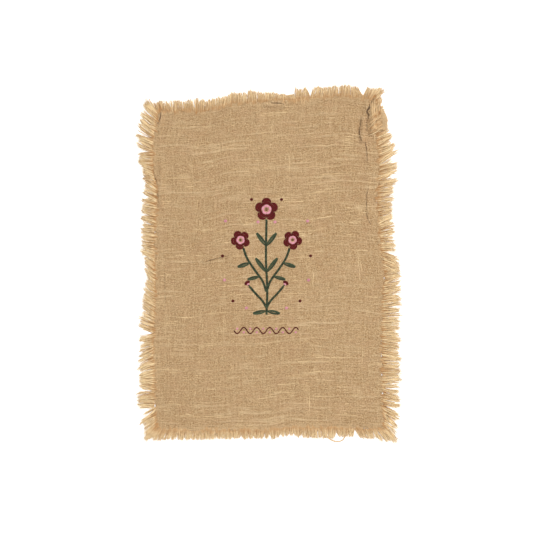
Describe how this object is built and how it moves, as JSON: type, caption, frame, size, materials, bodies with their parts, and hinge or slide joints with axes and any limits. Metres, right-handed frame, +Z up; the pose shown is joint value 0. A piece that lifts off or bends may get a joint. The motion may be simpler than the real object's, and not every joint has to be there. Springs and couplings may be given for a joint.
{
  "type": "hand towel",
  "caption": "Rectangular slub cotton hand towel lying open and flat, raw fringed edges on all sides, small embroidered flower sprig in the middle.",
  "frame": {"origin": "under the middle of the towel, on the surface that it lies on", "axes": "+Y along the towel's length towards its top edge, +X to the right, +Z up out of the surface, with the embroidered face up"},
  "size_m": [0.533, 0.7178, 0.0063],
  "materials": {
    "cloth": "slubbed plain-weave cotton gauze, matt",
    "fringe": "loose cotton yarn ends, soft and matt",
    "thread_red": "stranded embroidery cotton, slight sheen",
    "thread_pink": "stranded embroidery cotton, slight sheen",
    "thread_green": "stranded embroidery cotton, slight sheen"
  },
  "bodies": {
    "root": {"towel_cloth": "cloth", "fringe_left": "fringe", "fringe_right": "fringe", "fringe_bottom": "fringe", "fringe_top": "fringe"}
  },
  "joints": []
}
